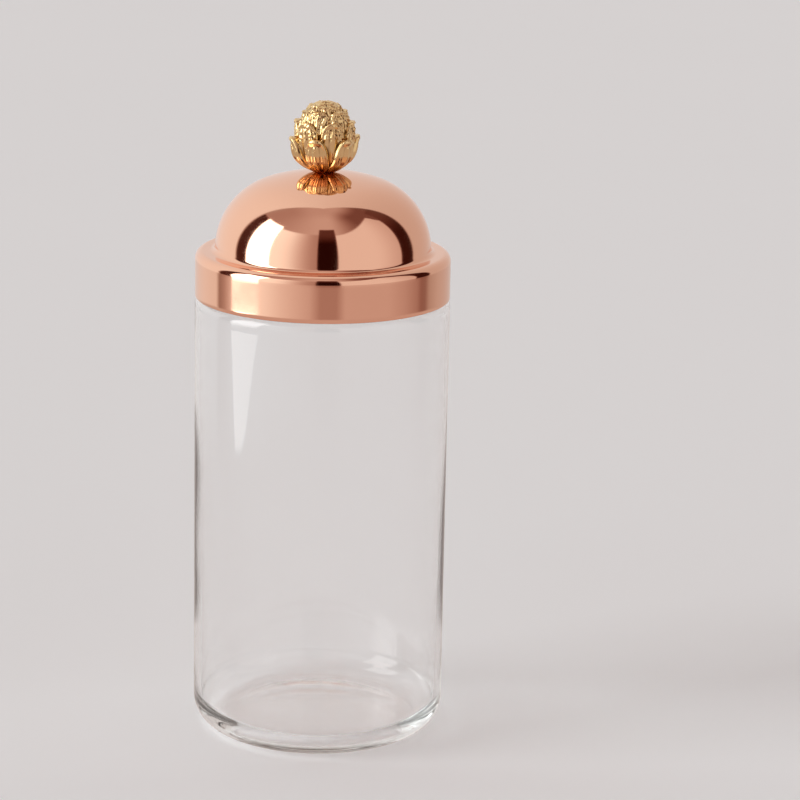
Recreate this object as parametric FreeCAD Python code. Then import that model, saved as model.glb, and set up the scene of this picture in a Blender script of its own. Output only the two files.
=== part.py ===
import FreeCAD, Part
import math
import os

# Lidded glass canister: a tall clear glass jar with a recessed neck, and a spun copper lid that
# plugs into it on a silicone seal and carries a cast brass artichoke knob.
# Millimetres, +Z up, origin on the canister's axis in the plane that it stands on.

V = FreeCAD.Vector
AXIS = V(0, 0, 1)

# Jar
JAR_R = 73.0             # outside radius of the straight body
WALL = 2.2               # wall thickness of the upper body
HEEL_R = 16.0            # rounded outer edge at the base
FOOT_INNER_R = 49.0      # the foot is a flat ring outside this radius
PUNT_HEIGHT = 1.6        # height of the shallow hollow inside the foot ring
FLOOR_Z = 7.0            # inside floor
FLOOR_R = 55.0           # the floor is flat inside this radius
CORNER_INSIDE_R = 14.0   # rounding between floor and wall
TAPER_TOP_Z = 150.0      # above this the wall has its full upper thickness
SHOULDER_Z = 250.6       # the body turns in here, just under the lid
SHOULDER_R = 6.0         # rounding of the shoulder
SHOULDER_TURN = 60       # degrees that the shoulder turns through
NECK_LOW_Z = 257.6       # straight neck from here up
NECK_R = 68.4            # outside radius of the recessed neck
BORE_R = 65.6            # inside radius of the neck
RIM_Z = 278.5            # top of the rim

# Lid shell, spun from sheet
SHEET = 1.0
SKIRT_R = 72.9
SKIRT_Z = 256.4          # lower edge of the skirt
SKIRT_TOP_Z = 278.0      # where the skirt rounds over
CORNER_R = 4.6
LEDGE_Z = SKIRT_TOP_Z + CORNER_R
FILLET_R = 3.0           # hollow curve between ledge and dome
DOME_R = 61.6            # widest radius of the dome
DOME_Z = 283.6           # height of that widest circle
APEX_Z = 328.3           # the crown would reach this without its flat seat
CROWN_R = 108.0          # radius of curvature of the crown
SEAT_R = 8.5             # flat seat for the knob
HOLE_R = 2.75            # clearance hole for the knob screw

# Plug ring, soldered under the ledge
RING_R = 63.4
RING_T = 0.8
RING_FLANGE_R = 68.0
RING_FLANGE_T = 1.0
RING_BOTTOM_Z = 262.0
RING_LIP_R = 64.8
RING_SHOULDER = 0.4      # the ring's top stays this far under the lid's hollow curve

# Silicone seal round the plug ring
CLEAR = 0.3              # gap to the pieces that it turns or slides against
SEAL_LIP_R = BORE_R - CLEAR
SEAL_SLEEVE_R = 64.7
SEAL_FLANGE_R = 70.2
FIN_ZS = (266.5, 270.5, 274.5)
FIN_ROOT = 1.0           # half height of a fin at its root
FIN_TIP = 0.5            # height of its edge

# Knob and its fastening, M5
KNOB_HEIGHT = 41.5
SCREW_R = 2.5
SCREW_LENGTH = 14.0
SCREW_CHAMFER = 0.5
TAP_R = 2.55
TAP_DEPTH = 14.0
HEAD_R = 4.75
HEAD_H = 3.0
HEAD_ROUND = 1.2
SOCKET_R = 1.6
SOCKET_DEPTH = 1.8
FLAT_WASHER_R = 8.0
FLAT_WASHER_T = 1.2
LOCK_WASHER_R = 4.6
LOCK_WASHER_BORE_R = 2.65
LOCK_WASHER_T = 1.3
LOCK_SLIT = 0.8
LOCK_TWIST = 30          # degrees that the slit leans

# Bud under the leaves: (radius, height above the seat)
CORE_OUTLINE = [
    (6.0, 0), (5.8, 1.6), (10.6, 4.2), (15.4, 9.8), (16.4, 18), (15, 27), (11.8, 34.6),
    (8.4, 38.2), (4.6, 40.6), (0, KNOB_HEIGHT),
]

# Right half of a leaf's outline: (share of its half width, share of its height)
LEAF_SIDE = [(0.45, 0.0), (0.8, 0.25), (1.0, 0.55), (0.85, 0.8), (0.45, 0.96), (0.0, 1.0)]
LEAF_REACH = 30.0        # the leaf outlines are cut out this far from the axis

# Tiers of leaves: count, angle of the first one, half width of a leaf,
# outer section as (radius, height above the seat), thickness
LEAF_TIERS = (
    (6, -107, 10.0, [(7.4, 2.4), (12.4, 4.4), (16.6, 8), (18.8, 13), (19.8, 18), (20.5, 21.8)], 2.6),
    (6, -77, 9.4, [(15.5, 8.6), (17.8, 15), (18.1, 21), (17.6, 26), (16.9, 30.4)], 2.6),
    (6, -107, 7.4, [(15.5, 22), (15.8, 27), (14.6, 31.6), (13.2, 35.2)], 2.6),
    (6, -77, 5.4, [(12.6, 31), (11.6, 34.6), (9.2, 38)], 2.4),
    (5, -107, 3.2, [(10.4, 36), (8.7, 38.8), (6.2, 40.8)], 2.0),
)

# Dome arcs: a side arc tangent to the crown arc
RISE = APEX_Z - DOME_Z
SIDE_R = (2 * CROWN_R * RISE - DOME_R ** 2 - RISE ** 2) / (2 * (CROWN_R - DOME_R))
SIDE_C = V(DOME_R - SIDE_R, 0, DOME_Z)
CROWN_C = V(0, 0, APEX_Z - CROWN_R)
FILLET_C = V(
    SIDE_C.x + math.sqrt((SIDE_R + FILLET_R) ** 2 - (LEDGE_Z + FILLET_R - DOME_Z) ** 2),
    0,
    LEDGE_Z + FILLET_R,
)


def on_arc(centre, radius, degrees):
    angle = math.radians(degrees)
    return centre + V(radius * math.cos(angle), 0, radius * math.sin(angle))


def line(a, b):
    return Part.LineSegment(a, b).toShape()


def arc(centre, radius, start, end):
    middle = on_arc(centre, radius, (start + end) / 2)
    return Part.Arc(on_arc(centre, radius, start), middle, on_arc(centre, radius, end)).toShape()


def polyline(points):
    return [line(a, b) for a, b in zip(points, points[1:])]


def revolve(edges):
    """Solid of revolution about the Z axis of a closed outline in the XZ plane."""
    face = Part.Face(Part.Wire(Part.__sortEdges__(edges)))
    solid = face.revolve(V(0, 0, 0), AXIS, 360)
    return Part.Solid(solid) if solid.ShapeType == "Shell" else solid


def ring(inner, outer, low, high):
    tube = Part.makeCylinder(outer, high - low, V(0, 0, low))
    return tube.cut(Part.makeCylinder(inner, high - low, V(0, 0, low)))


def glass_jar():
    heel_c = V(JAR_R - HEEL_R, 0, HEEL_R)
    shoulder_c = V(JAR_R - SHOULDER_R, 0, SHOULDER_Z)
    rim_r = (NECK_R - BORE_R) / 2
    rim_c = V(BORE_R + rim_r, 0, RIM_Z - rim_r)
    inner_r = JAR_R - WALL
    corner_c = V(FLOOR_R, 0, FLOOR_Z + CORNER_INSIDE_R)
    punt_r = (FOOT_INNER_R ** 2 + PUNT_HEIGHT ** 2) / (2 * PUNT_HEIGHT)
    punt_edge = math.degrees(math.acos(FOOT_INNER_R / punt_r))
    punt_c = V(0, 0, PUNT_HEIGHT - punt_r)
    outside = [
        arc(punt_c, punt_r, 90, punt_edge),
        line(V(FOOT_INNER_R, 0, 0), V(heel_c.x, 0, 0)),
        arc(heel_c, HEEL_R, -90, 0),
        line(V(JAR_R, 0, HEEL_R), V(JAR_R, 0, SHOULDER_Z)),
        arc(shoulder_c, SHOULDER_R, 0, SHOULDER_TURN),
        line(on_arc(shoulder_c, SHOULDER_R, SHOULDER_TURN), V(NECK_R, 0, NECK_LOW_Z)),
        line(V(NECK_R, 0, NECK_LOW_Z), V(NECK_R, 0, rim_c.z)),
        arc(rim_c, rim_r, 0, 180),
    ]
    inside = [
        line(V(BORE_R, 0, rim_c.z), V(BORE_R, 0, NECK_LOW_Z)),
        line(V(BORE_R, 0, NECK_LOW_Z), on_arc(shoulder_c, SHOULDER_R - WALL, SHOULDER_TURN)),
        arc(shoulder_c, SHOULDER_R - WALL, SHOULDER_TURN, 0),
        line(V(inner_r, 0, SHOULDER_Z), V(inner_r, 0, TAPER_TOP_Z)),
        line(V(inner_r, 0, TAPER_TOP_Z), V(FLOOR_R + CORNER_INSIDE_R, 0, corner_c.z)),
        arc(corner_c, CORNER_INSIDE_R, 0, -90),
        line(V(FLOOR_R, 0, FLOOR_Z), V(0, 0, FLOOR_Z)),
    ]
    axis_edge = line(V(0, 0, FLOOR_Z), V(0, 0, PUNT_HEIGHT))
    return revolve(outside + inside + [axis_edge])


def shell_outline(depth):
    """The lid's section from skirt to hole, DEPTH under its outer surface."""
    to_fillet = math.degrees(math.atan2(FILLET_C.z - SIDE_C.z, FILLET_C.x - SIDE_C.x))
    to_crown = math.degrees(math.atan2(SIDE_C.z - CROWN_C.z, SIDE_C.x - CROWN_C.x))
    to_seat = math.degrees(math.acos(SEAT_R / CROWN_R))
    corner_c = V(SKIRT_R - CORNER_R, 0, SKIRT_TOP_Z)
    seat = on_arc(CROWN_C, CROWN_R - depth, to_seat)
    return [
        line(V(SKIRT_R - depth, 0, SKIRT_Z), V(SKIRT_R - depth, 0, SKIRT_TOP_Z)),
        arc(corner_c, CORNER_R - depth, 0, 90),
        line(V(corner_c.x, 0, LEDGE_Z - depth), V(FILLET_C.x, 0, LEDGE_Z - depth)),
        arc(FILLET_C, FILLET_R + depth, -90, to_fillet - 180),
        arc(SIDE_C, SIDE_R - depth, to_fillet, to_crown),
        arc(CROWN_C, CROWN_R - depth, to_crown, to_seat),
        line(seat, V(HOLE_R, 0, seat.z)),
    ]


def seat_z(depth):
    return CROWN_C.z + (CROWN_R - depth) * math.sin(math.acos(SEAT_R / CROWN_R))


def lid_shell():
    ends = [
        line(V(SKIRT_R, 0, SKIRT_Z), V(SKIRT_R - SHEET, 0, SKIRT_Z)),
        line(V(HOLE_R, 0, seat_z(0)), V(HOLE_R, 0, seat_z(SHEET))),
    ]
    return revolve(shell_outline(0) + shell_outline(SHEET) + ends)


def plug_ring():
    top = LEDGE_Z - SHEET
    inner = RING_R - RING_T
    outline = [
        V(inner, 0, RING_BOTTOM_Z),
        V(RING_LIP_R, 0, RING_BOTTOM_Z),
        V(RING_LIP_R, 0, RING_BOTTOM_Z + RING_T),
        V(RING_R, 0, RING_BOTTOM_Z + RING_T),
        V(RING_R, 0, top - RING_FLANGE_T),
        V(RING_FLANGE_R, 0, top - RING_FLANGE_T),
        V(RING_FLANGE_R, 0, top),
        V(FILLET_C.x, 0, top),
        V(inner, 0, top - RING_SHOULDER),
        V(inner, 0, RING_BOTTOM_Z),
    ]
    return revolve(polyline(outline))


def seal_ring():
    inner = RING_R + CLEAR
    bottom = RING_BOTTOM_Z + RING_T + CLEAR
    top = LEDGE_Z - SHEET - RING_FLANGE_T - CLEAR
    under = RIM_Z + CLEAR
    seal = ring(inner, SEAL_SLEEVE_R, bottom, top).fuse(ring(inner, SEAL_FLANGE_R, under, top))
    for z in FIN_ZS:
        fin = [
            V(inner, 0, z - FIN_ROOT),
            V(SEAL_LIP_R, 0, z),
            V(SEAL_LIP_R, 0, z + FIN_TIP),
            V(inner, 0, z + FIN_ROOT),
            V(inner, 0, z - FIN_ROOT),
        ]
        seal = seal.fuse(revolve(polyline(fin)))
    return seal.removeSplitter()


def knob_curve(points):
    curve = Part.BSplineCurve()
    curve.interpolate([V(r, 0, seat_z(0) + h) for r, h in points])
    return curve.toShape()


def knob_core():
    """Egg-shaped body of the bud, under its leaves."""
    foot = V(0, 0, seat_z(0))
    edges = [
        line(foot, V(CORE_OUTLINE[0][0], 0, foot.z)),
        knob_curve(CORE_OUTLINE),
        line(foot + V(0, 0, KNOB_HEIGHT), foot),
    ]
    return revolve(edges)


def leaf_prism(half_width, foot_h, tip_h, angle):
    """Radial prism with the outline of one leaf: narrow foot, broad middle, rounded tip."""
    foot = seat_z(0)
    height = tip_h - foot_h
    right = [V(half_width * w, 0, foot + foot_h + height * k) for w, k in LEAF_SIDE]
    left = [V(-p.x, 0, p.z) for p in reversed(right[:-1])]
    curve = Part.BSplineCurve()
    curve.interpolate(right + left)
    wire = Part.Wire([curve.toShape(), line(left[-1], right[0])])
    prism = Part.Face(wire).extrude(V(0, LEAF_REACH, 0))
    prism.rotate(V(0, 0, 0), AXIS, angle - 90)
    return prism


def leaf_tier(count, angle, half_width, points, thickness):
    """A ring of leaves cut from a shell whose outer section runs through POINTS."""
    foot = seat_z(0)
    inner = [(r - thickness, h) for r, h in points]
    edges = [
        knob_curve(points),
        knob_curve(inner),
        line(V(points[0][0], 0, foot + points[0][1]), V(inner[0][0], 0, foot + inner[0][1])),
        line(V(points[-1][0], 0, foot + points[-1][1]), V(inner[-1][0], 0, foot + inner[-1][1])),
    ]
    shell = revolve(edges)
    low = points[0][1]
    high = points[-1][1]
    return [
        shell.common(leaf_prism(half_width, low, high, angle + i * 360 / count))
        for i in range(count)
    ]


def knob():
    body = knob_core()
    for tier in LEAF_TIERS:
        body = body.fuse(leaf_tier(*tier))
    tap = Part.makeCylinder(TAP_R, TAP_DEPTH + 1, V(0, 0, seat_z(0) - 1))
    return body.cut(tap)


def flat_washer():
    top = seat_z(SHEET)
    return ring(HOLE_R, FLAT_WASHER_R, top - FLAT_WASHER_T, top)


def lock_washer():
    top = seat_z(SHEET) - FLAT_WASHER_T
    middle = top - LOCK_WASHER_T / 2
    washer = ring(LOCK_WASHER_BORE_R, LOCK_WASHER_R, top - LOCK_WASHER_T, top)
    slit = Part.makeBox(2 * LOCK_WASHER_R, LOCK_SLIT, 3 * LOCK_WASHER_T)
    slit.translate(V(0, -LOCK_SLIT / 2, middle - 1.5 * LOCK_WASHER_T))
    slit.rotate(V(0, 0, middle), V(1, 0, 0), LOCK_TWIST)
    return washer.cut(slit)


def knob_screw():
    under_head = seat_z(SHEET) - FLAT_WASHER_T - LOCK_WASHER_T
    shank = Part.makeCylinder(SCREW_R, SCREW_LENGTH, V(0, 0, under_head))
    shank = shank.makeChamfer(SCREW_CHAMFER, [shank.Edges[0]])
    head = Part.makeCylinder(HEAD_R, HEAD_H, V(0, 0, under_head - HEAD_H))
    head = head.makeFillet(HEAD_ROUND, [head.Edges[2]])
    head_z = V(0, 0, under_head - HEAD_H)
    angles = [math.pi * i / 3 for i in range(7)]
    hexagon = [head_z + V(SOCKET_R * math.cos(a), SOCKET_R * math.sin(a), 0) for a in angles]
    socket = Part.Face(Part.makePolygon(hexagon)).extrude(V(0, 0, SOCKET_DEPTH))
    return head.fuse(shank).cut(socket)


PIECES = {
    "glass_jar": glass_jar,
    "lid_shell": lid_shell,
    "plug_ring": plug_ring,
    "seal_ring": seal_ring,
    "knob": knob,
    "flat_washer": flat_washer,
    "lock_washer": lock_washer,
    "knob_screw": knob_screw,
}

os.makedirs("parts", exist_ok=True)
for name, make in PIECES.items():
    shape = make()
    solids = shape.Solids
    box = shape.BoundBox
    print(
        f"{name}: valid {shape.isValid()}, solids {len(solids)}, volume {shape.Volume / 1000:.2f} cm3, "
        f"x {box.XMin:.2f} {box.XMax:.2f}, y {box.YMin:.2f} {box.YMax:.2f}, z {box.ZMin:.2f} {box.ZMax:.2f}"
    )
    solids[0].exportStep(f"parts/{name}.step")
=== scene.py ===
import math

import bpy
import numpy as np
from mathutils import Matrix, Vector, noise


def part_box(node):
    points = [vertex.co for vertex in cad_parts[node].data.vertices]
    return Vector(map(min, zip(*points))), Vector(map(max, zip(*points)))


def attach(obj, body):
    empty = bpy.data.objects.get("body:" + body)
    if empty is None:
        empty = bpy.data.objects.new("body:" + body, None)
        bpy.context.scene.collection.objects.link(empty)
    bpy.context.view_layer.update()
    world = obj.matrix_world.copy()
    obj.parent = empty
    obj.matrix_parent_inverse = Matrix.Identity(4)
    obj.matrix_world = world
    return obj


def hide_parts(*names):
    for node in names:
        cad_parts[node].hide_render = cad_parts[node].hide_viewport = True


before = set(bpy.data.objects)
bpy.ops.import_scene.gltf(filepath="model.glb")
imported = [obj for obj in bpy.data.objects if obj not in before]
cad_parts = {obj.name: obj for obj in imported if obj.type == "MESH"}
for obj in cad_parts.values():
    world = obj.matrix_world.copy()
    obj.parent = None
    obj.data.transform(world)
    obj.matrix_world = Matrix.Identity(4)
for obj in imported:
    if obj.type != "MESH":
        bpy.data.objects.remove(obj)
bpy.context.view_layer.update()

MM = 0.001

# ---------------------------------------------------------------- sizes, in millimetres
# They repeat the design's own driving dimensions; places that the frame gives are read from it.


def node_mm(node):
    """Lowest and highest corner of a CAD node, in millimetres."""
    low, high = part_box(node)
    return Vector(low) / MM, Vector(high) / MM


JAR_HIGH = node_mm("glass_jar")[1]
SHELL_LOW, SHELL_HIGH = node_mm("lid_shell")
RING_LOW, RING_HIGH = node_mm("plug_ring")
SEAL_LOW, SEAL_HIGH = node_mm("seal_ring")
SEAT_Z = node_mm("knob")[0].z

# Jar
JAR_R = JAR_HIGH.y
WALL = 2.2
HEEL_R = 16.0
FOOT_INNER_R = 49.0
FOOT_BLEND_R = 12.0         # rounding between the foot ring and the hollow inside it
PUNT_HEIGHT = 1.6
PUNT_END_R = 42             # the hollow's curve is drawn out to here
PUNT_STEP = 3
FLOOR_Z = 7.0
CORNER_INSIDE_R = 14.0
TAPER_LOW_R = 68.8          # inside radius that the thicker lower wall tapers to at the floor
TAPER_TOP_Z = 150.0
TAPER_BLEND_R = 3000.0
SHOULDER_Z = 250.6
SHOULDER_R = 6.0
SHOULDER_CORNER_Z = 254.1   # wall and shoulder would meet here, outside, without the rounding
SHOULDER_INSIDE_Z = 252.8   # and here inside
NECK_Z = 257.6
NECK_BLEND_R = 1.6
NECK_R = 68.4
BORE_R = 65.6
RIM_Z = JAR_HIGH.z
WAVE = 0.07                 # unevenness of the blown inner wall

# Lid shell
SHEET = 1.0
HEM_R = SHEET / 2           # rounding of the skirt's lower edge
SKIRT_R = SHELL_HIGH.y
SKIRT_Z = SHELL_LOW.z
SKIRT_TOP_Z = 278.0
CORNER_R = 4.6
LEDGE_Z = SKIRT_TOP_Z + CORNER_R
FILLET_R = 3.0
DOME_R = 61.6
DOME_Z = 283.6
APEX_Z = 328.3
CROWN_R = 108.0
SEAT_R = 8.5
HOLE_R = 2.75

# Plug ring
RING_INNER_R = 62.6
RING_R = 63.4
RING_T = 0.8
RING_FLANGE_T = 1.0
RING_LIP_R = 64.8

# Silicone seal
SEAL_INNER_R = 63.7
SEAL_SLEEVE_R = 64.7
SEAL_LIP_R = 65.3
SEAL_FLANGE_T = 1.5
FIN_ZS = (266.5, 270.5, 274.5)
FIN_UNDER = 0.7             # a fin starts this far under its edge
FIN_EDGE = 0.45             # height of the edge
FIN_OVER = 0.8              # and it ends this far over the edge's foot

# Knob
TAP_R = 2.55
TAP_DEPTH = 15.0
VOXEL = 0.28                # grain of the casting
PIT_SIZE = 1.5
PIT_DEPTH = 0.42
PIT_LOW = 17.0              # chasing starts this far over the seat
PIT_FADE = 8.0              # and has its full depth this much higher
CAVITY_ROUNDS = 24          # smoothing rounds that a surface is compared with to find its recesses
CAVITY_DEPTH = 0.45         # recess that counts as fully dark in the painted shade and patina

# Faces
JAR_SEGMENTS, JAR_FACE = 288, 4.0
SHELL_SEGMENTS, RING_SEGMENTS, LID_FACE = 360, 240, 2.5


# ---------------------------------------------------------------- mesh tools


def rounded(points, step=0.35):
    """A smooth outline from corner points (r, z, fillet radius)."""
    corners = [Vector(p[:2]) for p in points]
    radii = [p[2] if len(p) > 2 else 0 for p in points]
    outline = [corners[0]]
    for i in range(1, len(points) - 1):
        corner, radius = corners[i], radii[i]
        before = (corners[i - 1] - corner).normalized()
        after = (corners[i + 1] - corner).normalized()
        half = before.angle(after) / 2
        if radius <= 0 or half > math.pi / 2 - 1e-3:
            outline.append(corner)
            continue
        reach = radius / math.tan(half)
        centre = corner + (before + after).normalized() * radius / math.sin(half)
        start = corner + before * reach - centre
        end = corner + after * reach - centre
        sweep = math.atan2(start.x * end.y - start.y * end.x, start.dot(end))
        steps = min(48, max(4, int(radius * abs(sweep) / step)))
        for k in range(steps + 1):
            outline.append(centre + Matrix.Rotation(sweep * k / steps, 2) @ start)
    outline.append(corners[-1])
    return outline


def arc(centre, radius, start, end, steps):
    """Points of an arc from START to END degrees."""
    angles = [math.radians(start + (end - start) * k / steps) for k in range(steps + 1)]
    return [Vector((centre.x + radius * math.cos(a), centre.y + radius * math.sin(a))) for a in angles]


def resample(outline, longest):
    """Splits long stretches, so that the lathe's faces stay near square."""
    points = [outline[0]]
    for a, b in zip(outline, outline[1:]):
        length = (b - a).length
        if length < 1e-4:
            continue
        pieces = max(1, math.ceil(length / longest))
        points += [a.lerp(b, k / pieces) for k in range(1, pieces + 1)]
    return points


def new_object(name, vertices, faces):
    mesh = bpy.data.meshes.new(name)
    mesh.from_pydata(vertices, [], faces)
    mesh.validate()
    mesh.shade_smooth()
    mesh.update()
    obj = bpy.data.objects.new(name, mesh)
    bpy.context.scene.collection.objects.link(obj)
    return obj


def turn(outline, segments, closed, wobble=None):
    """Turns an (r, z) outline in millimetres about the Z axis. An open outline starts and ends on it."""
    vertices, rings = [], []
    for r, z in outline:
        if r < 1e-6:
            rings.append([len(vertices)])
            vertices.append((0, 0, z * MM))
            continue
        rings.append(list(range(len(vertices), len(vertices) + segments)))
        for k in range(segments):
            angle = 2 * math.pi * k / segments
            radius = (r + (wobble(r, z, angle) if wobble else 0)) * MM
            vertices.append((radius * math.cos(angle), radius * math.sin(angle), z * MM))
    pairs = list(zip(rings, rings[1:]))
    if closed:
        pairs.append((rings[-1], rings[0]))
    faces = []
    for low, high in pairs:
        for k in range(segments):
            n = (k + 1) % segments
            if len(low) == 1:
                faces.append((low[0], high[n], high[k]))
            elif len(high) == 1:
                faces.append((low[k], low[n], high[0]))
            else:
                faces.append((low[k], low[n], high[n], high[k]))
    return vertices, faces


def lathe(name, outline, segments, closed, wobble=None):
    return new_object(name, *turn(outline, segments, closed, wobble))


# ---------------------------------------------------------------- node tools


class Nodes:
    """Short names for building a node tree."""

    def __init__(self, tree):
        self.tree = tree
        self.output = None
        tree.nodes.clear()

    def add(self, kind, inputs=None, **settings):
        node = self.tree.nodes.new(kind)
        for key, value in settings.items():
            setattr(node, key, value)
        for key, value in (inputs or {}).items():
            if isinstance(value, bpy.types.NodeSocket):
                self.tree.links.new(value, node.inputs[key])
            else:
                node.inputs[key].default_value = value
        return node

    def math(self, operation, a, b=0.0, c=0.0):
        return self.add("ShaderNodeMath", {0: a, 1: b, 2: c}, operation=operation).outputs[0]

    def ramp(self, value, low, high, to_low=0.0, to_high=1.0):
        """Smooth step from one value to another."""
        node = self.add(
            "ShaderNodeMapRange",
            {"Value": value, "From Min": low, "From Max": high, "To Min": to_low, "To Max": to_high},
            interpolation_type="SMOOTHSTEP",
        )
        return node.outputs["Result"]

    def band(self, value, low, high, soft):
        """One between LOW and HIGH and nought outside, with soft edges."""
        rise = self.ramp(value, low - soft, low + soft)
        fall = self.ramp(value, high - soft, high + soft, 1.0, 0.0)
        return self.math("MULTIPLY", rise, fall)

    def mix(self, factor, a, b):
        """Blend of two numbers."""
        node = self.add("ShaderNodeMix", data_type="FLOAT")
        for key, value in {"Factor": factor, "A": a, "B": b}.items():
            socket = next(s for s in node.inputs if s.name == key and s.type == "VALUE")
            if isinstance(value, bpy.types.NodeSocket):
                self.tree.links.new(value, socket)
            else:
                socket.default_value = value
        return node.outputs[0]

    def mix_colour(self, factor, a, b):
        """Blend of two colours."""
        node = self.add("ShaderNodeMix", data_type="RGBA")
        for key, value in {"Factor": factor, "A": a, "B": b}.items():
            kinds = ("VALUE",) if key == "Factor" else ("RGBA",)
            socket = next(s for s in node.inputs if s.name == key and s.type in kinds)
            if isinstance(value, bpy.types.NodeSocket):
                self.tree.links.new(value, socket)
            else:
                socket.default_value = value
        return next(s for s in node.outputs if s.type == "RGBA")

    def noise(self, vector, scale, detail=2.0, roughness=0.5):
        node = self.add(
            "ShaderNodeTexNoise",
            {"Vector": vector, "Scale": scale, "Detail": detail, "Roughness": roughness},
        )
        return node.outputs["Fac"]


def material(name):
    """A new material with its node tools, its shader and the object coordinates."""
    made = bpy.data.materials.new(name)
    made.use_nodes = True
    nodes = Nodes(made.node_tree)
    shader = nodes.add("ShaderNodeBsdfPrincipled")
    nodes.output = nodes.add("ShaderNodeOutputMaterial", {"Surface": shader.outputs[0]})
    place = nodes.add("ShaderNodeTexCoord").outputs["Object"]
    return made, nodes, shader, place


def connect(nodes, shader, **sockets):
    """Links patterns to the shader's sockets, named with underscores for spaces."""
    for name, value in sockets.items():
        nodes.tree.links.new(value, shader.inputs[name.replace("_", " ")])


def bump(nodes, height, strength, distance):
    node = nodes.add("ShaderNodeBump", {"Height": height, "Strength": strength, "Distance": distance})
    return node.outputs["Normal"]


def stretched(nodes, place, scale):
    """Object coordinates scaled along each axis, for brushed or drawn patterns."""
    return nodes.add("ShaderNodeMapping", {"Vector": place, "Scale": scale}).outputs["Vector"]


def polar(nodes, place):
    """Radius, angle and height about the object's axis."""
    split = nodes.add("ShaderNodeSeparateXYZ", {"Vector": place}).outputs
    x2 = nodes.math("MULTIPLY", split["X"], split["X"])
    radius = nodes.math("SQRT", nodes.math("MULTIPLY_ADD", split["Y"], split["Y"], x2))
    angle = nodes.math("ARCTAN2", split["Y"], split["X"])
    return radius, angle, split["Z"]


# ---------------------------------------------------------------- materials


def clear_glass():
    made, nodes, shader, place = material("clear_glass")
    shader.inputs["Transmission Weight"].default_value = 1.0
    shader.inputs["IOR"].default_value = 1.5
    shader.inputs["Base Color"].default_value = (1.0, 1.0, 1.0, 1.0)
    haze = nodes.noise(place, 22.0, 3.0)
    connect(nodes, shader, Roughness=nodes.ramp(haze, 0.35, 0.8, 0.0, 0.012))
    draw = nodes.noise(stretched(nodes, place, (1.0, 1.0, 0.35)), 26.0, 2.0)
    connect(nodes, shader, Normal=bump(nodes, draw, 0.12, 0.0006))
    absorb = nodes.add("ShaderNodeVolumeAbsorption", {"Color": (0.80, 0.9, 0.87, 1.0), "Density": 2.6})
    nodes.tree.links.new(absorb.outputs[0], nodes.output.inputs["Volume"])
    return made


def polished_copper():
    made, nodes, shader, place = material("polished_copper")
    shader.inputs["Metallic"].default_value = 1.0
    shade = nodes.noise(place, 14.0, 4.0)
    colour = nodes.mix_colour(shade, (0.90, 0.515, 0.355, 1.0), (0.945, 0.575, 0.41, 1.0))
    radius, angle, height = polar(nodes, place)
    lines_per_metre = 5200.0
    across = nodes.math("MULTIPLY", radius, lines_per_metre)
    along = nodes.math("ADD", across, nodes.math("MULTIPLY", height, lines_per_metre))
    lines = nodes.add("ShaderNodeCombineXYZ", {"X": along, "Y": nodes.math("MULTIPLY", angle, 0.6)})
    spun = nodes.noise(lines.outputs[0], 1.0, 3.0, 0.6)
    smudge = nodes.noise(place, 34.0, 5.0, 0.62)
    smudged = nodes.ramp(smudge, 0.4, 0.75, 0.045, 0.085)
    rough = nodes.math("ADD", smudged, nodes.ramp(spun, 0.3, 0.8, 0.0, 0.03))
    connect(nodes, shader, Base_Color=colour, Roughness=rough, Normal=bump(nodes, spun, 0.018, 0.00005))
    return made


def polished_brass():
    made, nodes, shader, place = material("polished_brass")
    shader.inputs["Metallic"].default_value = 1.0
    cavity = nodes.add("ShaderNodeAttribute", attribute_name="cavity").outputs["Fac"]
    height = nodes.add("ShaderNodeSeparateXYZ", {"Vector": place}).outputs["Z"]
    # Painted shade and patina: the recesses between the leaves and the narrow foot are mixed towards dark
    # brown
    foot = nodes.ramp(height, (SEAT_Z + 1.0) * MM, (SEAT_Z + 7.0) * MM, 0.5, 0.0)
    shade_and_patina = nodes.math("MAXIMUM", nodes.ramp(cavity, 0.1, 0.8), foot)
    bright = nodes.mix_colour(
        nodes.noise(place, 160.0, 3.0), (0.76, 0.52, 0.23, 1.0), (0.86, 0.64, 0.33, 1.0)
    )
    colour = nodes.mix_colour(shade_and_patina, bright, (0.14, 0.065, 0.015, 1.0))
    grain = nodes.noise(place, 900.0, 4.0, 0.6)
    grained = nodes.ramp(grain, 0.3, 0.8, 0.10, 0.17)
    rough = nodes.math("ADD", grained, nodes.ramp(cavity, 0.2, 0.9, 0.0, 0.2))
    connect(nodes, shader, Base_Color=colour, Roughness=rough, Normal=bump(nodes, grain, 0.2, 0.0002))
    return made


def silicone():
    made, nodes, shader, place = material("silicone")
    shader.inputs["IOR"].default_value = 1.41
    shader.inputs["Transmission Weight"].default_value = 0.35
    shader.inputs["Subsurface Weight"].default_value = 0.25
    shader.inputs["Subsurface Radius"].default_value = (0.004, 0.004, 0.0035)
    cloud = nodes.noise(place, 40.0, 4.0)
    colour = nodes.mix_colour(cloud, (0.80, 0.80, 0.77, 1.0), (0.88, 0.88, 0.86, 1.0))
    grain = nodes.noise(place, 1500.0, 2.0)
    rough = nodes.ramp(cloud, 0.3, 0.7, 0.36, 0.5)
    connect(nodes, shader, Base_Color=colour, Roughness=rough, Normal=bump(nodes, grain, 0.3, 0.0001))
    return made


def zinc_steel():
    made, nodes, shader, place = material("zinc_steel")
    shader.inputs["Metallic"].default_value = 1.0
    spangle = nodes.noise(place, 420.0, 3.0)
    colour = nodes.mix_colour(spangle, (0.52, 0.53, 0.55, 1.0), (0.68, 0.68, 0.68, 1.0))
    turned = nodes.noise(stretched(nodes, place, (1.0, 1.0, 9.0)), 900.0, 3.0)
    connect(
        nodes, shader, Base_Color=colour, Roughness=nodes.ramp(turned, 0.3, 0.7, 0.26, 0.4),
        Normal=bump(nodes, turned, 0.2, 0.0001),
    )
    return made


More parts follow.
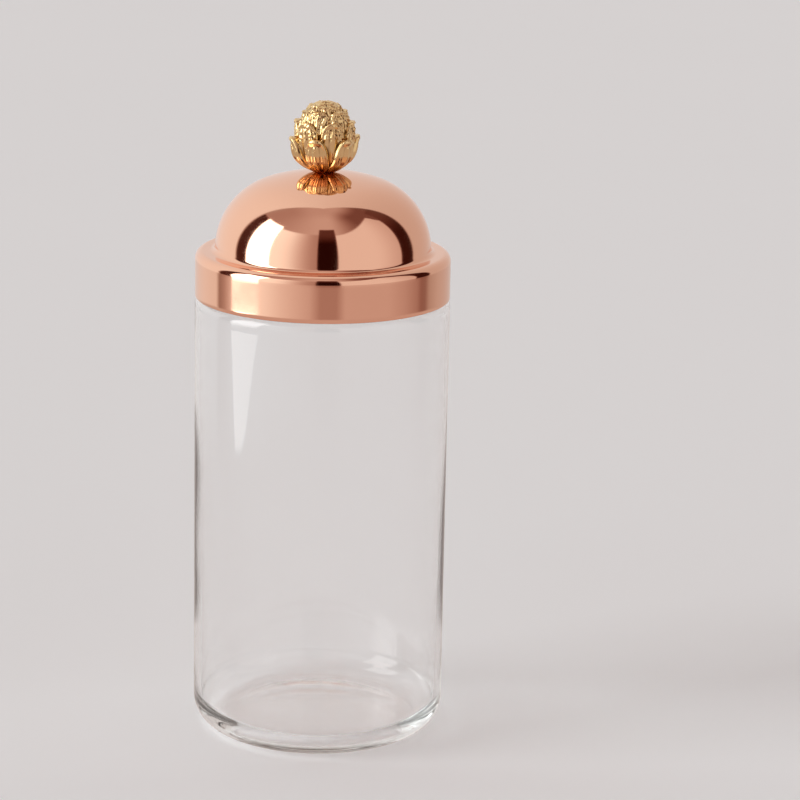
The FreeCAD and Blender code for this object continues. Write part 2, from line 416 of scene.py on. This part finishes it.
def pale_floor():
    made, nodes, shader, place = material("pale_floor")
    cloud = nodes.noise(place, 1.3, 4.0)
    colour = nodes.mix_colour(cloud, (0.84, 0.885, 0.90, 1.0), (0.855, 0.90, 0.915, 1.0))
    grain = nodes.noise(place, 700.0, 2.0)
    shader.inputs["Roughness"].default_value = 0.5
    shader.inputs["Specular IOR Level"].default_value = 0.0
    connect(nodes, shader, Base_Color=colour, Normal=bump(nodes, grain, 0.05, 0.0001))
    return made


GLASS = clear_glass()
COPPER = polished_copper()
BRASS = polished_brass()
SILICONE = silicone()
STEEL = zinc_steel()


# ---------------------------------------------------------------- jar


def jar_wave(r, z, angle):
    """Blown glass isn't quite even: its inner wall wanders by a tenth of a millimetre or so."""
    low, high, run = 24.0, SHOULDER_Z - 10.0, 25.0
    if r > JAR_R - WALL * 0.6 or not low < z < high:
        return 0.0
    fade = min(1.0, (z - low) / run, (high - z) / run)
    slow = math.sin(3 * angle + 0.021 * z) + 0.7 * math.sin(5 * angle - 0.034 * z + 1.3)
    return WAVE * fade * (slow + 0.8 * math.sin(0.075 * z + 2 * angle))


def build_jar():
    inner_r = JAR_R - WALL
    lip = (NECK_R - BORE_R) / 2 - 0.01
    radii = range(0, PUNT_END_R + 1, PUNT_STEP)
    punt = [Vector((r, PUNT_HEIGHT * (1 - (r / FOOT_INNER_R) ** 2))) for r in radii]
    wall = rounded([
        punt[-1][:],
        (FOOT_INNER_R, 0.0, FOOT_BLEND_R),
        (JAR_R, 0.0, HEEL_R),
        (JAR_R, SHOULDER_CORNER_Z, SHOULDER_R),
        (NECK_R, NECK_Z, NECK_BLEND_R),
        (NECK_R, RIM_Z, lip),
        (BORE_R, RIM_Z, lip),
        (BORE_R, NECK_Z, NECK_BLEND_R),
        (inner_r, SHOULDER_INSIDE_Z, SHOULDER_R - WALL),
        (inner_r, TAPER_TOP_Z, TAPER_BLEND_R),
        (TAPER_LOW_R, FLOOR_Z, CORNER_INSIDE_R),
        (0.0, FLOOR_Z),
    ])
    jar = lathe("jar_glass", resample(punt[:-1] + wall, JAR_FACE), JAR_SEGMENTS, False, jar_wave)
    jar.data.materials.append(GLASS)
    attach(jar, "jar")
    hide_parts("glass_jar")


# ---------------------------------------------------------------- lid


def shell_side(depth):
    """Skirt to hole, DEPTH under the outer surface."""
    rise = APEX_Z - DOME_Z
    side_r = (2 * CROWN_R * rise - DOME_R**2 - rise**2) / (2 * (CROWN_R - DOME_R))
    side = Vector((DOME_R - side_r, DOME_Z))
    crown = Vector((0.0, APEX_Z - CROWN_R))
    foot_z = LEDGE_Z + FILLET_R
    foot = Vector((side.x + math.sqrt((side_r + FILLET_R) ** 2 - (foot_z - DOME_Z) ** 2), foot_z))
    to_foot = math.degrees(math.atan2(foot.y - side.y, foot.x - side.x))
    to_crown = math.degrees(math.atan2(side.y - crown.y, side.x - crown.x))
    to_seat = math.degrees(math.acos(SEAT_R / CROWN_R))
    corner = Vector((SKIRT_R - CORNER_R, SKIRT_TOP_Z))
    seat_z = crown.y + (CROWN_R - depth) * math.sin(math.radians(to_seat))
    outline = [Vector((SKIRT_R - depth, SKIRT_Z + HEM_R))]
    outline += arc(corner, CORNER_R - depth, 0, 90, 22)
    outline += arc(foot, FILLET_R + depth, -90, to_foot - 180, 16)
    outline += arc(side, side_r - depth, to_foot, to_crown, 64)
    outline += arc(crown, CROWN_R - depth, to_crown, to_seat, 24)
    return outline + [Vector((HOLE_R, seat_z))]


def build_shell():
    hem = arc(Vector((SKIRT_R - SHEET / 2, SKIRT_Z + HEM_R)), HEM_R, -180, 0, 8)
    outline = shell_side(0.0) + list(reversed(shell_side(SHEET))) + hem[1:-1]
    shell = lathe("copper_shell", resample(outline, LID_FACE), SHELL_SEGMENTS, True)
    shell.data.materials.append(COPPER)
    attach(shell, "lid")
    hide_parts("lid_shell")


def build_plug_ring():
    middle = (RING_INNER_R + RING_R) / 2
    low, high, flange_r = RING_LOW.z, RING_HIGH.z, RING_HIGH.x
    flange_z = high - RING_FLANGE_T
    crisp, soft, bend = 0.3, 0.35, 0.6
    outline = rounded([
        (middle, low),
        (RING_LIP_R, low, soft),
        (RING_LIP_R, low + RING_T, soft),
        (RING_R, low + RING_T, crisp),
        (RING_R, flange_z, bend),
        (flange_r, flange_z, crisp),
        (flange_r, high, crisp),
        (RING_INNER_R, high - 0.1, 0.5),
        (RING_INNER_R, low, soft),
        (middle, low),
    ], 0.15)
    ring = lathe("copper_plug_ring", resample(outline[:-1], LID_FACE), RING_SEGMENTS, True)
    ring.data.materials.append(COPPER)
    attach(ring, "lid")
    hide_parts("plug_ring")


def build_seal():
    middle = (SEAL_INNER_R + SEAL_SLEEVE_R) / 2
    low, high, flange_r = SEAL_LOW.z, SEAL_HIGH.z, SEAL_HIGH.x
    flange_z = high - SEAL_FLANGE_T
    sharp, crisp, soft = 0.18, 0.3, 0.5
    points = [(middle, low), (SEAL_SLEEVE_R, low, crisp)]
    for z in FIN_ZS:
        points += [
            (SEAL_SLEEVE_R, z - FIN_UNDER, crisp),
            (SEAL_LIP_R, z, sharp),
            (SEAL_LIP_R, z + FIN_EDGE, sharp),
            (SEAL_SLEEVE_R, z + FIN_OVER, crisp),
        ]
    points += [
        (SEAL_SLEEVE_R, flange_z, crisp),
        (flange_r, flange_z, soft),
        (flange_r, high, soft),
        (SEAL_INNER_R, high, crisp),
        (SEAL_INNER_R, low, crisp),
        (middle, low),
    ]
    seal = lathe("silicone_seal", resample(rounded(points, 0.12)[:-1], LID_FACE), RING_SEGMENTS, True)
    seal.data.materials.append(SILICONE)
    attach(seal, "seal")
    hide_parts("seal_ring")


# ---------------------------------------------------------------- knob


def smooth_path(points, samples):
    """Catmull-Rom curve through (r, h) points, as arrays."""
    pts = np.array([points[0]] + list(points) + [points[-1]], float)
    out = []
    for i in range(len(points) - 1):
        p0, p1, p2, p3 = pts[i:i + 4]
        for k in range(samples):
            t = k / samples
            out.append(0.5 * (2 * p1 + (p2 - p0) * t + (2 * p0 - 5 * p1 + 4 * p2 - p3) * t**2
                              + (3 * p1 - p0 - 3 * p2 + p3) * t**3))
    return np.array(out + [pts[-1]])


# Shares of a leaf's half width
RIM_WIDTH = 0.13            # how quickly the rim falls off
FIELD_GAP = 0.12            # plain strip between the rim and the ribs
FIELD_FADE = 0.15           # over which the ribs rise
LEAF_COLUMNS = 33
LEAF_SAMPLES = 8            # rows per stretch of a leaf's path


def leaf(azimuth, half_width, path, style):
    """One closed leaf: a ribbed blade with a raised rim, curved round the bud, that follows PATH up it."""
    curve = smooth_path(path, LEAF_SAMPLES)
    rows, columns = len(curve), LEAF_COLUMNS
    outer, inner = [], []
    for i, (r, h) in enumerate(curve):
        v = i / (rows - 1)
        width = half_width * blade(v)
        to_tip = (1 - v) * style["length"] / half_width
        for j in range(columns):
            u = 2 * j / (columns - 1) - 1
            edge = min((1 - abs(u)) * width / half_width, to_tip)
            rim = style["rim"] * math.exp(-(((edge - style["band"]) / RIM_WIDTH) ** 2))
            field = min(1.0, max(0.0, (edge - style["band"] - FIELD_GAP) / FIELD_FADE))
            rib = style["rib"] * (0.5 + 0.5 * math.cos(math.pi * style["ribs"] * u * (1.15 - 0.3 * v)))
            bow = style["bow"] * u * u * (width / half_width)
            radius = r - bow + rim + rib * field * min(1.0, 5 * v)
            angle = math.radians(azimuth) + u * width / max(r, 3.0)
            for store, reach in ((outer, radius), (inner, r - bow - style["thick"])):
                store.append((reach * math.sin(angle) * MM, -reach * math.cos(angle) * MM, (SEAT_Z + h) * MM))
    vertices = outer + inner
    shift = len(outer)
    faces = []
    for i in range(rows - 1):
        for j in range(columns - 1):
            a = i * columns + j
            quad = (a, a + 1, a + columns + 1, a + columns)
            faces.append(quad)
            faces.append(tuple(k + shift for k in reversed(quad)))
    edge = list(range(columns))
    edge += [i * columns + columns - 1 for i in range(1, rows)]
    edge += [(rows - 1) * columns + j for j in range(columns - 2, -1, -1)]
    edge += [i * columns for i in range(rows - 2, 0, -1)]
    for a, b in zip(edge, edge[1:] + edge[:1]):
        faces.append((b, a, a + shift, b + shift))
    return vertices, faces


def blade(v):
    """Half width along a leaf: narrow foot, broad middle, rounded tip."""
    broadest = 0.6
    rise = 0.42 + 0.58 * math.sin(min(v / broadest, 1.0) * math.pi / 2)
    fall = math.sqrt(max(0.0, 1 - max(0.0, (v - broadest) / 0.405) ** 2.4))
    return max(0.06, rise * fall)


# Height of the rim, its place as a share of the half width, height and number of the ribs, how far the
# edges bow in, thickness and length
LEAF_STYLES = {
    "lower": dict(rim=1.15, band=0.18, rib=1.0, ribs=3.2, bow=1.9, thick=2.2, length=21.0),
    "middle": dict(rim=0.9, band=0.13, rib=1.0, ribs=3.4, bow=1.6, thick=2.0, length=19.0),
    "upper": dict(rim=0.8, band=0.13, rib=0.7, ribs=3.4, bow=1.3, thick=1.8, length=13.0),
}

# Count, azimuth of the first leaf (0 faces -Y, positive towards +X), half width, style, and the leaf's
# path as (radius, height above the seat)
LEAF_TIERS = (
    (6, -19, 7.7, "lower", [
        (5.4, 0.2), (9.4, 2.0), (13.2, 4.6), (16.4, 7.8), (18.1, 11.6), (18.8, 16.0), (19.8, 21.0),
    ]),
    (6, 16, 8.0, "middle", [
        (8.4, 3.4), (11.8, 6.6), (14.2, 10.4), (15.7, 15.0), (16.6, 20.5), (16.7, 25.5), (16.6, 30.0),
    ]),
    (6, -18, 6.6, "upper", [(13.6, 19.0), (14.5, 24.0), (14.2, 29.0), (12.9, 32.6), (12.2, 35.6)]),
    (6, 13, 5.2, "upper", [(12.6, 27.0), (11.8, 32.0), (9.9, 36.0), (8.4, 38.6)]),
    (5, -30, 4.0, "upper", [(10.4, 32.5), (8.4, 36.8), (5.4, 39.4), (3.0, 40.6)]),
)

# Bud under the leaves, (radius, height above the seat)
CORE = [
    (5.6, 0.0), (5.8, 0.9), (9.0, 3.4), (12.6, 7.6), (14.2, 14.0), (14.2, 21.0), (12.8, 28.0),
    (9.8, 34.4), (6.0, 38.4), (2.8, 40.2), (0.0, 40.5),
]
CORE_SAMPLES = 6
CORE_SEGMENTS = 96


def knob_parts():
    """The turned core with its screw hole, then every leaf, a little uneven as castings are."""
    hole = [(0.0, TAP_DEPTH), (TAP_R, TAP_DEPTH), (TAP_R, 0.0)]
    core = hole + list(smooth_path(CORE, CORE_SAMPLES))
    yield turn([Vector((r, SEAT_Z + h)) for r, h in core], CORE_SEGMENTS, False)
    rng = np.random.default_rng(7)
    for count, first, width, style, path in LEAF_TIERS:
        for i in range(count):
            lean, lift = rng.uniform(-1.5, 1.5), rng.uniform(-0.5, 0.2)
            bent = [(r, h + lift * k / (len(path) - 1)) for k, (r, h) in enumerate(path)]
            yield leaf(first + lean + i * 360 / count, width, bent, LEAF_STYLES[style])


def cast(obj):
    """Melts the parts into one skin and softens its creases."""
    remesh = obj.modifiers.new("cast", "REMESH")
    remesh.mode = "VOXEL"
    remesh.voxel_size = VOXEL * MM
    soften = obj.modifiers.new("soften", "SMOOTH")
    soften.factor = 0.5
    soften.iterations = 2
    skin = bpy.data.meshes.new_from_object(obj.evaluated_get(bpy.context.evaluated_depsgraph_get()))
    obj.modifiers.clear()
    obj.data = skin
    return skin


def places_and_normals(mesh):
    count = len(mesh.vertices)
    place, normal = np.empty(count * 3), np.empty(count * 3)
    mesh.vertices.foreach_get("co", place)
    mesh.vertices.foreach_get("normal", normal)
    return place.reshape(-1, 3), normal.reshape(-1, 3)


def pit(mesh):
    """Works the finer, irregular chasing into the upper leaves."""
    place, normal = places_and_normals(mesh)
    share = np.clip((place[:, 2] / MM - SEAT_Z - PIT_LOW) / PIT_FADE, 0.0, 1.0)
    grain = [noise.noise(Vector(p), noise_basis="PERLIN_ORIGINAL") for p in place / (PIT_SIZE * MM)]
    place += normal * (np.array(grain) * PIT_DEPTH * share * MM)[:, None]
    mesh.vertices.foreach_set("co", place.ravel())
    mesh.update()


def mark_cavities(mesh):
    """Stores how deep each point lies between the leaves, from how the surface curves round it."""
    place, normal = places_and_normals(mesh)
    ends = np.empty(len(mesh.edges) * 2, dtype=np.int64)
    mesh.edges.foreach_get("vertices", ends)
    ends = ends.reshape(-1, 2)
    both = np.concatenate([ends, ends[:, ::-1]])
    degree = np.bincount(both[:, 0], minlength=len(place))[:, None]
    average = place.copy()
    for _ in range(CAVITY_ROUNDS):
        total = np.zeros_like(average)
        np.add.at(total, both[:, 0], average[both[:, 1]])
        average = total / degree
    depth = ((average - place) * normal).sum(1) / MM
    cavity = np.clip(depth / CAVITY_DEPTH, 0.0, 1.0)
    layer = mesh.attributes.new("cavity", "FLOAT", "POINT")
    layer.data.foreach_set("value", cavity.astype(np.float32))


def build_knob():
    vertices, faces = [], []
    for more_vertices, more_faces in knob_parts():
        shift = len(vertices)
        vertices += more_vertices
        faces += [tuple(k + shift for k in face) for face in more_faces]
    knob = new_object("brass_knob", vertices, faces)
    skin = cast(knob)
    pit(skin)
    skin.shade_smooth()
    mark_cavities(skin)
    skin.materials.clear()
    skin.materials.append(BRASS)
    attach(knob, "lid")
    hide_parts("knob")


# ---------------------------------------------------------------- stage


def build_floor():
    """A wide flat floor, a hair under the foot, that keeps out of the copper's reflections."""
    span, cells, drop = 14.0, 28, 0.1 * MM
    vertices = [
        (span * (2 * i / cells - 1), span * (2 * j / cells - 1), -drop)
        for j in range(cells + 1) for i in range(cells + 1)
    ]
    row = cells + 1
    faces = [
        (j * row + i, j * row + i + 1, (j + 1) * row + i + 1, (j + 1) * row + i)
        for j in range(cells) for i in range(cells)
    ]
    floor = new_object("floor", vertices, faces)
    floor.data.materials.append(pale_floor())
    floor.visible_glossy = False


# Brightness round the studio at table height, by azimuth in degrees (0 is -Y, positive towards +X)
TABLE = (
    (-180, 0.72), (-136, 0.84), (-113, 0.82), (-108, 0.34), (-101, 0.48), (-95, 0.68), (-86, 1.03),
    (-64, 1.12), (-55, 1.0), (-40, 0.84), (-22, 0.7), (-14, 0.64), (-4, 0.43), (10, 0.43), (18, 0.62),
    (59, 0.62), (77, 0.53), (92, 0.41), (97, 0.3), (103, 0.3), (109, 0.48), (124, 0.58), (180, 0.66),
)
WINDOW_LEFT, WINDOW_RIGHT, WINDOW_TOP = -91.0, -61.5, 46.5
EDGE = 1.2                  # softness of a screen's edges, in degrees


def directions(nodes):
    """Azimuth and height of a direction in degrees, and its X."""
    way = nodes.add("ShaderNodeTexCoord").outputs["Generated"]
    split = nodes.add("ShaderNodeSeparateXYZ", {"Vector": way}).outputs
    degrees = 180 / math.pi
    front = nodes.math("MULTIPLY", split["Y"], -1.0)
    azimuth = nodes.math("MULTIPLY", nodes.math("ARCTAN2", split["X"], front), degrees)
    height = nodes.math("MULTIPLY", nodes.math("ARCSINE", split["Z"]), degrees)
    return azimuth, height, split["X"]


def screens(nodes, azimuth, height, x):
    """Brightness of the ceiling, the front screens with the dark gaps between them, and the walls behind."""

    def panel(light, left, right, top, value):
        mask = nodes.band(azimuth, left, right, EDGE)
        mask = nodes.math("MULTIPLY", mask, under(nodes, height, top))
        return nodes.mix(mask, light, value)

    light = nodes.ramp(azimuth, -90.0, -5.0, 0.44, 0.62)
    light = nodes.mix(nodes.ramp(azimuth, 5.0, 60.0), light, 0.19)
    light = nodes.mix(nodes.ramp(height, 66.0, 84.0), light, 0.55)

    right_top = nodes.ramp(azimuth, 12.0, 86.0, 42.5, 57.0)
    right_top = nodes.math("MINIMUM", right_top, nodes.ramp(azimuth, 76.0, 92.0, 57.0, 44.0))
    light = panel(light, 13.5, 89.0, right_top, nodes.ramp(azimuth, 55.0, 92.0, 0.84, 0.66))
    light = panel(light, -62.0, -8.5, 43.5, nodes.ramp(azimuth, -58.0, -8.0, 1.25, 0.46))
    light = panel(light, -106.0, -91.0, 46.0, 0.07)
    light = panel(light, 90.0, 107.0, 60.0, nodes.ramp(height, 20.0, 55.0, 0.04, 0.14))
    light = panel(light, -8.5, 13.5, 52.0, nodes.ramp(height, 28.0, 46.0, 0.02, 0.11))

    side = nodes.math("ABSOLUTE", azimuth)
    return nodes.mix(nodes.ramp(side, 106.5, 109.5), light, nodes.ramp(x, -0.9, 0.9, 0.95, 0.64))


def under(nodes, height, top):
    """One under a screen's top and nought over it, with a soft edge."""
    return nodes.ramp(nodes.math("SUBTRACT", height, top), -EDGE, EDGE, 1.0, 0.0)


def table_height(nodes, azimuth, height, light):
    """Puts the TABLE profile under the screens."""
    profile = nodes.add("ShaderNodeValToRGB", {"Fac": nodes.math("MULTIPLY_ADD", azimuth, 1 / 360, 0.5)})
    stops = profile.color_ramp.elements
    stops.remove(stops[1])
    for k, (where, value) in enumerate(TABLE):
        stop = stops[0] if k == 0 else stops.new((where + 180) / 360)
        stop.position = (where + 180) / 360
        stop.color = (value, value, value, 1.0)
    table = nodes.mix(nodes.ramp(height, -16.5, -14.0, 1.0, 0.0), profile.outputs["Color"], 0.6)
    return nodes.mix(nodes.ramp(height, -12.0, -8.0, 1.0, 0.0), light, table)


def window(nodes, azimuth, height, light):
    """The window at the left, and the slanting corner of it that shows in the jar's upper left."""
    bottom = nodes.math("MULTIPLY_ADD", azimuth, 0.03, -9.9)
    over = nodes.ramp(nodes.math("SUBTRACT", height, bottom), -0.4, 0.4)
    mask = nodes.band(azimuth, WINDOW_LEFT, WINDOW_RIGHT, EDGE)
    mask = nodes.math("MULTIPLY", mask, under(nodes, height, WINDOW_TOP))
    mask = nodes.math("MULTIPLY", mask, over)
    light = nodes.mix(mask, light, nodes.ramp(height, -14.5, -7.0, 1.5, 4.2))

    sill = nodes.math("SUBTRACT", height, nodes.ramp(azimuth, -80.0, -56.0, -15.7, -13.1))
    lean = nodes.math("MULTIPLY_ADD", height, 2.5, nodes.math("ADD", azimuth, 33.25))
    mask = nodes.ramp(height, -13.36, -13.26, 1.0, 0.0)
    mask = nodes.math("MULTIPLY", nodes.ramp(lean, -93.0, -91.0), mask)
    mask = nodes.math("MULTIPLY", mask, nodes.ramp(sill, -0.15, 0.15))
    return nodes.mix(mask, light, 3.4)


def build_world():
    """A soft studio. The camera sees a plain grey in its place."""
    world = bpy.data.worlds.new("studio")
    bpy.context.scene.world = world
    world.use_nodes = True
    nodes = Nodes(world.node_tree)
    azimuth, height, x = directions(nodes)
    light = screens(nodes, azimuth, height, x)
    light = table_height(nodes, azimuth, height, light)
    light = window(nodes, azimuth, height, light)

    # Dim places are warmer, and more so at the front
    warmth = nodes.ramp(nodes.math("ABSOLUTE", azimuth), 95.0, 115.0, 1.48, 1.3)
    warmer = nodes.math("ADD", warmth, 0.12)
    tint = nodes.add("ShaderNodeCombineColor", {
        "Red": light,
        "Green": nodes.math("MINIMUM", light, nodes.math("POWER", light, warmth)),
        "Blue": nodes.math("MINIMUM", light, nodes.math("POWER", light, warmer)),
    })
    seen = nodes.add("ShaderNodeLightPath").outputs["Is Camera Ray"]
    studio = nodes.add("ShaderNodeBackground", {"Color": tint.outputs[0], "Strength": 1.0})
    plain = nodes.add("ShaderNodeBackground", {"Color": (0.72, 0.70, 0.685, 1.0), "Strength": 1.0})
    blend = nodes.add("ShaderNodeMixShader", {0: seen, 1: studio.outputs[0], 2: plain.outputs[0]})
    nodes.add("ShaderNodeOutputWorld", {"Surface": blend.outputs[0]})


# The photograph's viewpoint: place in metres, then turn about Z, tilt down and roll in degrees
CAMERA_PLACE = (-0.0667, -1.6671, 0.6329)
CAMERA_TURN = -3.853
CAMERA_TILT = 14.704
CAMERA_ROLL = 1.143
CAMERA_LENS = 134.4


def build_camera():
    data = bpy.data.cameras.new("camera")
    data.sensor_width = 36.0
    data.lens = CAMERA_LENS
    data.clip_start, data.clip_end = 0.05, 60.0
    camera = bpy.data.objects.new("camera", data)
    bpy.context.scene.collection.objects.link(camera)
    turned = Matrix.Rotation(math.radians(CAMERA_TURN), 4, "Z")
    tilted = Matrix.Rotation(math.radians(90 - CAMERA_TILT), 4, "X")
    rolled = Matrix.Rotation(math.radians(CAMERA_ROLL), 4, "Z")
    camera.matrix_world = Matrix.Translation(CAMERA_PLACE) @ turned @ tilted @ rolled
    bpy.context.scene.camera = camera


build_camera()
build_world()
build_floor()
build_jar()
build_shell()
build_plug_ring()
build_seal()
build_knob()
for node in ("flat_washer", "lock_washer", "knob_screw"):  # shown with the design's own meshes
    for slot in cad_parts[node].material_slots:
        slot.material = STEEL
bpy.context.scene.view_settings.view_transform = "Standard"
cycles = bpy.context.scene.cycles
for bounces in ("max_bounces", "transmission_bounces", "glossy_bounces"):
    setattr(cycles, bounces, 40)  # light runs a long way round inside thick glass
cycles.blur_glossy = 0.1  # the default of 1 takes light away under the jar
